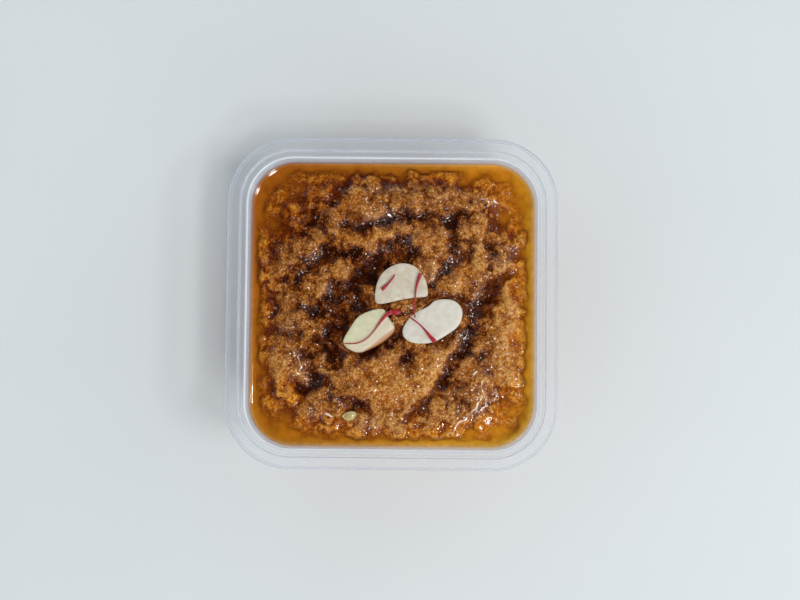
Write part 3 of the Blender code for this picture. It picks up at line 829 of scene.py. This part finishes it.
# Painted shade: shut-in places, hollows, creases, the dark marks and the shore darken the colour, golden
# places lighten it, and it fades out at the wall
painted_shade_value = (1.35 * (occluded - 0.05) + 0.12 * sunken + 0.20 * between + 0.24 * lobe_value
                + 0.34 * blur(shade_value, 0.8) + 0.30 * blur(shade_value, 3.0) + 0.55 * shore_shade
                - 0.2 * gold_value * (1.0 - shade_value))
painted_shade_value = np.clip(painted_shade_value * off_wall, 0.0, 1.0)
# Lighter on the tops of grains and darker between them: in part the grains' own tone, and in part painted
# shade between grains and lumps
grain_tone_and_shade = 0.5 + 1.3 * (surface - blur(surface, 0.6)) - 0.2 * between - 0.12 * lobe_value
grain_tone_and_shade = np.clip(grain_tone_and_shade, 0.0, 1.0)
soak_value = ease(GHEE_LEVEL + 2.2 + 1.1 * clouds(5.0, 61) - smooth_surface, 0.0, 2.4)
soak_value = soak_value * ease(inland, 10.0, 3.0)
print("lobes, tenths:", np.percentile(lobe_value[inland > 3.0], (10, 50, 90)).round(2).tolist())

# %% [markdown]
# The mass of the sweet
#
# The top is a grid of square rings bent to the tub's rounded square, so its cells stay
# nearly even. The sides follow the wall and run a third of a millimetre into it, because
# on a sweet behind clear plastic a gap would show as air.

# %% Mesh of the sweet
RINGS = 146


def ring_cells(ring):
    """Columns and rows of one square ring of a grid, anticlockwise."""
    run = np.arange(-ring, ring)
    same = np.full(2 * ring, ring)
    sides = ([same, run], [-run, same], [-same, -run], [run, -same])
    return np.concatenate([np.stack(side) for side in sides], axis=1)


span = np.arange(-RINGS, RINGS + 1)
grid_column, grid_row = np.meshgrid(span, span)
grid_angle = np.arctan2(grid_row, grid_column)
grid_share = np.maximum(np.abs(grid_column), np.abs(grid_row)) / RINGS
grid_reach = grid_share * square_reach(grid_angle, edge_half)
top_x, top_y = around(grid_reach, grid_angle)
top_z = pick(surface, top_x, top_y)
number = np.arange(top_x.size).reshape(top_x.shape)
quads = np.stack([number[:-1, :-1], number[:-1, 1:], number[1:, 1:], number[1:, :-1]], axis=-1)
quads = quads.reshape(-1, 4)
rim_column, rim_row = ring_cells(RINGS)
rim = number[rim_row + RINGS, rim_column + RINGS]
rim_angle = np.arctan2(rim_row, rim_column)
print("top cells", len(quads))

# %% Sides and underside of the sweet
SIDE_LEVELS = (20.0, 15.0, 10.0, 6.0, 3.4)
# Inset and height where the side bends into the floor
FLOOR_BEND = ((0.35, 2.3), (1.2, 1.6), (2.6, 1.3))
OVER_FLOOR = 0.25


def wall_ring(height, inset=0.0, drop=0.0):
    ring_reach = square_reach(rim_angle, wall_half(max(height, BEND_Z)) + INTO_WALL - inset)
    return np.stack([*around(ring_reach, rim_angle), np.full(len(ring_reach), height - drop)], axis=1)


sweet_points = [np.stack([top_x.ravel(), top_y.ravel(), top_z.ravel()], axis=1)]
sweet_faces = quads.tolist()
upper = rim
side_rings = [wall_ring(height) for height in SIDE_LEVELS]
side_rings += [wall_ring(height, inset, OVER_FLOOR) for inset, height in FLOOR_BEND]
for ring in side_rings:
    lower = np.arange(len(ring)) + sum(len(block) for block in sweet_points)
    sweet_points.append(ring)
    sweet_faces += bridge(lower, upper)
    upper = lower
sweet_faces.append(upper[::-1].tolist())
sweet_points = np.concatenate(sweet_points)
sweet_mesh = mesh_from("grainy_sweet", sweet_points, sweet_faces)
on_top = np.arange(len(sweet_points)) < top_x.size
point_x, point_y = sweet_points[:, :2].T

# %% Values and calm directions on the mesh
# Each value's name, its field on top, and its number down the side
FIELDS = (("hollow", painted_shade_value, 0.1), ("grain", grain_tone_and_shade, 0.5), ("soak", soak_value, 0.6),
          ("gold", gold_value, 0.3), ("wet", wet_value, 0.2), ("glaze", glaze_value, 0.0),
          ("highlight line gap", highlight_line_gap, 3.0))

for name, field, at_wall in FIELDS:
    add_values(sweet_mesh, name, np.where(on_top, pick(field, point_x, point_y), at_wall))
settled = blur(surface, 0.6) * (1.0 - glaze_value) + blur(surface, 0.3) * glaze_value
rise_y, rise_x = np.gradient(settled, RASTER_STEP) * (0.3 + 0.3 * shine_value)
rises = [-pick(rise, point_x, point_y) for rise in (rise_x, rise_y)]
calm = np.where(on_top, [*rises, np.ones(len(on_top))], [point_x, point_y, np.zeros(len(on_top))]).T
calm /= np.linalg.norm(calm, axis=1)[:, None]
layer = sweet_mesh.attributes.new("calm", "FLOAT_VECTOR", "POINT")
layer.data.foreach_set("vector", calm.astype(np.float32).ravel())
print("values on the mesh:", [name for name, field, at_wall in FIELDS])

# %% [markdown]
# Wet, grainy and brown
#
# The colour goes from near black in the creases, which is painted shade, to tan on the grains,
# and to orange where ghee stands over it. A rough base lies under a glossy coat, as brown
# crumbs lie under ghee. Wet grains are tiny mirrors, and one that happens to face a lamp
# sparkles. So the coat has its own normal: the film's calm one, tilted at random and kept
# flat across each cell of half a millimetre.

# %% Nodes for grains and sparkles
def cells(size):
    """Packed cells of about size millimetres: distance to each middle, and a random colour for each."""
    node = add_node("TexVoronoi", {"Vector": object_place(), "Scale": 1.0 / (size * MM)})
    return node.outputs["Distance"], node.outputs["Color"]


def vector_node(operation, inputs):
    return add_node("VectorMath", inputs, operation=operation).outputs["Vector"]


def facets(size, spread):
    """A calm normal, tilted at random and kept flat across each cell."""
    tilt = vector_node("SUBTRACT", {0: cells(size)[1], 1: (0.5, 0.5, 0.5)})
    tilt = vector_node("SCALE", {0: tilt, "Scale": remap("glaze", 0.0, 1.0, spread, 0.0)})
    calm = add_node("Attribute", attribute_name="calm").outputs["Vector"]
    return vector_node("NORMALIZE", {0: vector_node("ADD", {0: calm, 1: tilt})})


def light_side(low, high):
    """Painted light: from low at the back left to high at the front right, where the lamps shine through the
    ghee.
    """
    parts = add_node("SeparateXYZ", {0: object_place()}).outputs
    return remap(math_node("SUBTRACT", parts["X"], times(parts["Y"], 0.6)), -0.06, 0.06, low, high)

# %% Finish of the sweet
# Colours from the gaps to the light grains: dry, golden and soaked, and the painted shade that darkens them
# in hollows
DRY = [(0.0, 0.10, 0.025, 0.003), (0.3, 0.21, 0.057, 0.006), (0.5, 0.31, 0.093, 0.011),
       (0.7, 0.43, 0.147, 0.023), (1.0, 0.72, 0.35, 0.105)]
GOLDEN = [(0.0, 0.16, 0.038, 0.003), (0.3, 0.32, 0.084, 0.007), (0.5, 0.45, 0.138, 0.014),
          (0.7, 0.57, 0.205, 0.030), (1.0, 0.78, 0.41, 0.12)]
SOAKED = [(0.0, 0.13, 0.024, 0.001), (0.3, 0.38, 0.088, 0.003), (0.55, 0.68, 0.20, 0.006),
          (1.0, 1.0, 0.50, 0.06)]
PAINTED_SHADE_RAMP = [(0.0, 1.0, 1.0, 1.0), (0.3, 0.71, 0.58, 0.46), (0.6, 0.46, 0.31, 0.18),
            (1.0, 0.24, 0.13, 0.06)]
PAINTED_HIGHLIGHT_COLOUR = (0.95, 0.90, 0.82)
GRAIN_CELL = 0.55
GRIT_CELL = 0.33
SPARKLE_CELL = 0.45
SPARKLE_TILT = 0.64

brown = new_material("grainy brown sweet")
grain_gap, grain_colour = cells(GRAIN_CELL)
grain_grey = add_node("RGBToBW", {"Color": grain_colour}).outputs["Val"]
# The light_side term is painted light: the sweet is lighter towards the front right, where the lamps are
tone = weighted(-0.48, [
    ("grain", 0.55), (noise(9.0, 3.0, 0.6), 0.35), (noise(3.2, 2.0, 0.6), 0.4),
    (noise(0.75, 3.0, 0.6), 0.55), (grain_grey, 0.52), (grain_gap, -0.65), ("gold", 0.12),
    (light_side(0.0, 1.0), 0.21)])
colour = blend_colours("gold", colour_ramp(tone, DRY), colour_ramp(tone, GOLDEN))
colour = blend_colours("soak", colour, colour_ramp(tone, SOAKED))
# Painted shade: the colour is multiplied darker where the hollow value is high
with_painted_shade = tinted(colour, colour_ramp("hollow", PAINTED_SHADE_RAMP))
# Painted highlight: a pale line along each streak
on_painted_highlight = remap("highlight line gap", 0.14, 0.26, 0.9, 0.0)
grit = bump(times(grain_gap, -1.0), 0.28, 0.9)
fine_gap = cells(GRIT_CELL)[0]
grit = bump(times(fine_gap, -1.0), 0.1, 0.6, grit)
finish(brown, Base_Color=blend_colours(on_painted_highlight, with_painted_shade, PAINTED_HIGHLIGHT_COLOUR), Roughness=0.5,
       Specular_IOR_Level=0.0, Coat_Weight="wet", Coat_Roughness=0.17, Coat_IOR=1.7,
       Normal=grit, Coat_Normal=facets(SPARKLE_CELL, SPARKLE_TILT))
add_piece(sweet_mesh, brown, "mohanthal")

# %% [markdown]
# The moat of ghee
#
# Ghee stands level between the heaped sweet and the wall, and creeps up both by half a
# millimetre. That curled edge catches the lamps as a thin bright line. The piece is a
# closed ring: level top, and an underside that follows the sweet and meets it at the wall.
# It is clear where it is thin, deep amber where it is not, and darkened along the shore by painted shade.

# %% Mesh of the ghee
POOL_RINGS = 56
LOW_RING_STEP = 4
SHORE_IN = 5.0
SHORE_CREEP = 0.6
SHORE_FADE = 0.4
WALL_CREEP = 0.75
CREEP_WIDTH = 1.0
SIDE_DEPTH = 6.0

share = (1.0 - (1.0 - np.linspace(0.0, 1.0, POOL_RINGS + 1)) ** 1.5)[:, None]
pool_reach = (shore_reach - SHORE_IN)[None, :] * (1 - share) + wall_reach[None, :] * share
pool_x, pool_y = around(pool_reach, pool_angle)
below = pick(smooth_surface, pool_x, pool_y)
to_wall = np.maximum(wall_gap(pool_x, pool_y, wall_half(GHEE_LEVEL)), 0.0)
near_wall = np.exp(-to_wall / CREEP_WIDTH)
pool_z = GHEE_LEVEL + SHORE_CREEP / (1.0 + np.exp(-(below - GHEE_LEVEL + 0.2) / SHORE_FADE))
pool_z += WALL_CREEP * near_wall
sink = ease(pool_reach, shore_reach - SHORE_IN, shore_reach - SHORE_IN + 1.0)
pool_z = np.where(sink < 1.0, np.minimum(pool_z, below - 0.25 + sink), pool_z)
under_z = np.minimum(below - 0.4, pool_z - 0.2)
under_z[-1] = pick(surface, pool_x[-1], pool_y[-1])
low_rings = np.stack([pool_x, pool_y, under_z], axis=-1)[::-LOW_RING_STEP]
rings = np.concatenate([low_rings, np.stack([pool_x, pool_y, pool_z], axis=-1)])
numbers = np.arange(len(rings) * POOL_STEPS).reshape(-1, POOL_STEPS)
pool_faces = []
for lower, upper in zip(numbers, np.roll(numbers, -1, axis=0)):
    pool_faces += [face[::-1] for face in bridge(lower, upper)]
pool_mesh = mesh_from("melted_ghee", rings.reshape(-1, 3), pool_faces)
for name, seen, hidden in (("depth", np.maximum(pool_z - below, 0.0), SIDE_DEPTH), ("wall", near_wall, 0.0),
                           ("stain", pick(shore_shade, pool_x, pool_y), 0.0)):
    add_values(pool_mesh, name, np.concatenate([np.full((len(low_rings), POOL_STEPS), hidden), seen]))
print(f"deepest ghee {(pool_z - below).max():.1f} mm")

# %% Finish of the ghee
# Painted light: amber from the back left to the front right, where the lamps light it from inside
LIT_AMBER = [(0.0, 0.40, 0.108, 0.001), (0.35, 0.46, 0.142, 0.001), (0.6, 0.72, 0.24, 0.003),
             (0.85, 1.0, 0.43, 0.012)]
# Painted light: brighter amber along the wall, where the lamps shine in through the clear plastic
PAINTED_WALL_LIGHT = (1.0, 0.60, 0.07)
THIN_AMBER = (0.82, 0.54, 0.45)
PAINTED_SHORE_SHADE = [(0.0, 1.0, 1.0, 1.0), (1.0, 0.58, 0.36, 0.32)]
SEDIMENT = [(0.35, 0.78, 0.52, 0.4), (0.5, 0.97, 0.92, 0.9), (0.65, 1.2, 1.2, 1.2)]
LEAST_COVER = 0.2

amber = new_material("melted ghee")
lit = colour_ramp(light_side(0.0, 1.0), LIT_AMBER)
# Near the wall, and more on the lamps' side, the amber is painted brighter
deep = blend_colours(times("wall", light_side(0.0, 0.7)), lit, PAINTED_WALL_LIGHT)
even = blend_colours(remap("depth", 0.0, 3.5), tinted(deep, THIN_AMBER), deep)
# Painted shade along the shore darkens the ghee
even = tinted(even, colour_ramp("stain", PAINTED_SHORE_SHADE))
mottled = tinted(even, colour_ramp(noise(2.6, 5.0, 0.6), SEDIMENT))
thick = math_node("POWER", times("depth", 0.38), 1.5)
fade = math_node("POWER", math.e, times(thick, -1.0))
cover = weighted(0.875, [(fade, -1.0), (noise(7.0, 3.0), 0.25)])
finish(amber, Base_Color=blend_colours(remap("depth", 1.0, 6.0, 0.9, 0.4), even, mottled),
       Alpha=math_node("MAXIMUM", cover, LEAST_COVER), Roughness=0.07, IOR=1.46,
       Specular_IOR_Level=1.0, Normal=bump(noise(3.0, 2.0), 0.08, 0.4))
add_piece(pool_mesh, amber, "ghee")

# %% [markdown]
# Loose grains
#
# Here and there a grain has rolled free. Geometry Nodes scatter them: points are spread
# over the top, a low-poly ball stands on each, and each gets its own size and turn. The
# tree ends in Realize Instances and Set Material, because an export keeps plain meshes only.

# %% Tree that scatters grains
GRAIN_WIDTH = 0.62
GRAIN_DENSITY = 480000.0
GRAIN_SEED = 5
FULL_TURNS = (math.tau, math.tau, math.tau)
SMALLEST = (0.55, 0.5, 0.45)
LARGEST = (1.25, 1.0, 0.9)


def random_vector(low, high):
    return add_node("FunctionNodeRandomValue", {0: low, 1: high}, data_type="FLOAT_VECTOR").outputs["Value"]


def scatter_tree(material):
    group = bpy.data.node_groups.new("scattered grains", "GeometryNodeTree")
    for name, kind in (("Ground", "Geometry"), ("Grain radius", "Float"),
                       ("Grains a square metre", "Float"), ("Seed", "Int")):
        group.interface.new_socket(name, in_out="INPUT", socket_type="NodeSocket" + kind)
    group.interface.new_socket("Grains", in_out="OUTPUT", socket_type="NodeSocketGeometry")
    bench["tree"] = group
    given = add_node("NodeGroupInput").outputs
    spread = add_node("GeometryNodeDistributePointsOnFaces", {
        "Mesh": given["Ground"], "Density": given["Grains a square metre"], "Seed": given["Seed"]})
    ball = add_node("GeometryNodeMeshIcoSphere", {"Radius": given["Grain radius"], "Subdivisions": 1})
    stand = add_node("GeometryNodeInstanceOnPoints", {
        "Points": spread.outputs["Points"], "Instance": ball.outputs["Mesh"],
        "Rotation": random_vector((0.0, 0.0, 0.0), FULL_TURNS), "Scale": random_vector(SMALLEST, LARGEST)})
    real = add_node("GeometryNodeRealizeInstances", {"Geometry": stand.outputs["Instances"]})
    smooth = add_node("GeometryNodeSetShadeSmooth", {"Geometry": real.outputs["Geometry"]})
    dress = add_node("GeometryNodeSetMaterial", {
        "Geometry": smooth.outputs["Geometry"], "Material": material})
    add_node("NodeGroupOutput", {"Grains": dress.outputs["Geometry"]})
    print("scatter tree:", len(group.nodes), "nodes")
    return group


def plain_result(holder, name):
    """What an object's modifiers make of it, as a plain mesh. The object is then removed."""
    bpy.context.view_layer.update()
    evaluated = holder.evaluated_get(bpy.context.evaluated_depsgraph_get())
    mesh = bpy.data.meshes.new_from_object(evaluated)
    mesh.name = name
    holder.modifiers.clear()
    bpy.data.objects.remove(holder)
    return mesh


def run_tree(ground, group, values, name):
    """The tree's result. Inputs are set by their identifiers before the first evaluation."""
    modifier = ground.modifiers.new("scatter", "NODES")
    modifier.node_group = group
    for item in group.interface.items_tree:
        if item.name in values:
            modifier[item.identifier] = values[item.name]
    return plain_result(ground, name)

# %% Scatter the grains
GRAIN_COLOURS = [(0.3, 0.19, 0.058, 0.008), (0.5, 0.40, 0.15, 0.026), (0.72, 0.68, 0.37, 0.12)]
GRAIN_SINK = 0.08
NO_LID = 50.0

grain_skin = new_material("loose grains")
finish(grain_skin, Base_Color=colour_ramp(noise(1.2, 2.0), GRAIN_COLOURS), Roughness=0.35,
       Coat_Weight=0.7, Coat_Roughness=0.1, Normal=bump(noise(0.25, 2.0), 0.05, 0.4))
bare = (pick(lid, top_x, top_y) > NO_LID) & (top_z > GHEE_LEVEL + 0.1)
bare_quads = quads[bare.ravel()[quads].all(axis=1)]
sunk_points = sweet_points[:top_x.size] - np.array((0.0, 0.0, GRAIN_SINK))
ground = into_scene("ground", mesh_from("ground", sunk_points, bare_quads.tolist()))
grain_values = {
    "Grain radius": GRAIN_WIDTH / 2 * MM, "Grains a square metre": GRAIN_DENSITY, "Seed": GRAIN_SEED}
grain_mesh = run_tree(ground, scatter_tree(grain_skin), grain_values, "loose_grains")
add_piece(grain_mesh, grain_skin)

# %% [markdown]
# Almond slices
#
# Each slice is a thin cut of blanched nut, a little crowned, with a rounded edge. The
# solid's copy is merged, its triangles are joined to quads, a subdivision surface rounds
# it, and the knife's ripples are pressed into the points. The left slice was cut from the
# side of the nut and keeps a thin tan edge of skin.

# %% Finer copies of the solids
WELD = 1e-6
JOIN_FACE = 0.6
JOIN_SHAPE = 1.2


def finer_copy(node, name, levels):
    shape = bmesh.new()
    shape.from_mesh(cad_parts[node].data)
    bmesh.ops.remove_doubles(shape, verts=shape.verts, dist=WELD)
    bmesh.ops.join_triangles(
        shape, faces=shape.faces, angle_face_threshold=JOIN_FACE, angle_shape_threshold=JOIN_SHAPE)
    cage = bpy.data.meshes.new(name + "_cage")
    shape.to_mesh(cage)
    shape.free()
    holder = into_scene(name + "_cage", cage)
    rounder = holder.modifiers.new("rounder", "SUBSURF")
    rounder.levels = levels
    rounder.render_levels = levels
    result = plain_result(holder, name)
    result.shade_smooth()
    bpy.data.meshes.remove(cage)
    return result


def mesh_points(mesh):
    """The mesh's points in millimetres."""
    flat = np.zeros(len(mesh.vertices) * 3, np.float32)
    mesh.vertices.foreach_get("co", flat)
    return flat.reshape(-1, 3).astype(float) / MM

# %% Finish of the almonds
SKIN = (0.52, 0.24, 0.09)
FACET = (0.71, 0.61, 0.44)


def almond_finish(name, face, edge):
    material = new_material(name)
    mottled = colour_ramp(noise(2.2, 4.0, 0.55), [(0.3, *edge), (0.65, *face)])
    veins = remap(noise(0.8, 2.0, stretch=(1.0, 0.3, 1.0)), 0.5, 0.75, 0.0, 0.3)
    veined = blend_colours(veins, mottled, edge)
    cut = blend_colours("facet", veined, FACET)
    finish(material, Base_Color=blend_colours("skin", cut, SKIN), Roughness=0.42,
           Coat_Weight=0.15, Coat_Roughness=0.3, Normal=bump(noise(0.5, 3.0), 0.05, 0.5))
    return material

# %% Place the almonds
RUB_HEIGHT = 0.06
FACET_SLOPE = 0.12
SKIN_WAY = (0.62, -0.78)
# Percent of the slice's points that lie before the skin starts, and before it is full
SKIN_FROM = 74
SKIN_TO = 84
# Each slice: colour of its face and of its darker patches
ALMONDS = {"top": ((0.76, 0.69, 0.56), (0.62, 0.51, 0.36)), "right": ((0.82, 0.77, 0.68), (0.72, 0.65, 0.53)),
           "left": ((0.77, 0.74, 0.48), (0.66, 0.62, 0.40))}

for place, (face, patch) in ALMONDS.items():
    mesh = finer_copy("almond_" + place, "almond_slice_" + place, 3)
    points = mesh_points(mesh)
    middle = points.mean(axis=0)
    rub = clouds(2.4, 41, points[:, 0], points[:, 1])
    points[:, 2] += RUB_HEIGHT * rub * (points[:, 2] > middle[2])
    skin = np.zeros(len(points))
    facet = np.zeros(len(points))
    if place == "left":
        side = (points - middle)[:, :2] @ np.array(SKIN_WAY)
        skin = ease(side + 0.25 * rub, np.percentile(side, SKIN_FROM), np.percentile(side, SKIN_TO))
        facet = ease(side + 0.2 * rub, -0.1, 0.5)
        points[:, 2] -= FACET_SLOPE * np.maximum(side, 0.0) * (points[:, 2] > middle[2])
    mesh.vertices.foreach_set("co", (points * MM).ravel())
    add_values(mesh, "skin", skin)
    add_values(mesh, "facet", facet)
    add_piece(mesh, almond_finish("almond, " + place, face, patch), "almond_" + place)

# %% Chip of nut
CHIP_COLOURS = [(0.35, 0.42, 0.28, 0.07), (0.6, 0.66, 0.55, 0.25)]

chip_skin = new_material("nut chip")
finish(chip_skin, Base_Color=colour_ramp(noise(1.2, 3.0), CHIP_COLOURS), Roughness=0.35,
       Coat_Weight=0.6, Coat_Roughness=0.1, Normal=bump(noise(0.5, 3.0), 0.08, 0.5))
add_piece(finer_copy("nut_chip", "chip_of_nut", 3), chip_skin, "nut_chip")

# %% [markdown]
# Saffron
#
# A strand of saffron is a flattened trumpet, wide and ragged at one end and thread-thin at
# the other. The copy of the solid is rounded twice, and the material varies its crimson in
# fine blotches.

# %% Strands
CRIMSONS = [(0.35, 0.24, 0.006, 0.012), (0.55, 0.44, 0.012, 0.022), (0.75, 0.56, 0.04, 0.035)]

crimson = new_material("saffron")
finish(crimson, Base_Color=colour_ramp(noise(0.8, 3.0), CRIMSONS), Roughness=0.4,
       Normal=bump(noise(0.3, 2.0), 0.06, 0.5))
for name in ("short", "upright", "crossing", "long"):
    add_piece(finer_copy("saffron_" + name, "strand_" + name, 2), crimson, "saffron_" + name)
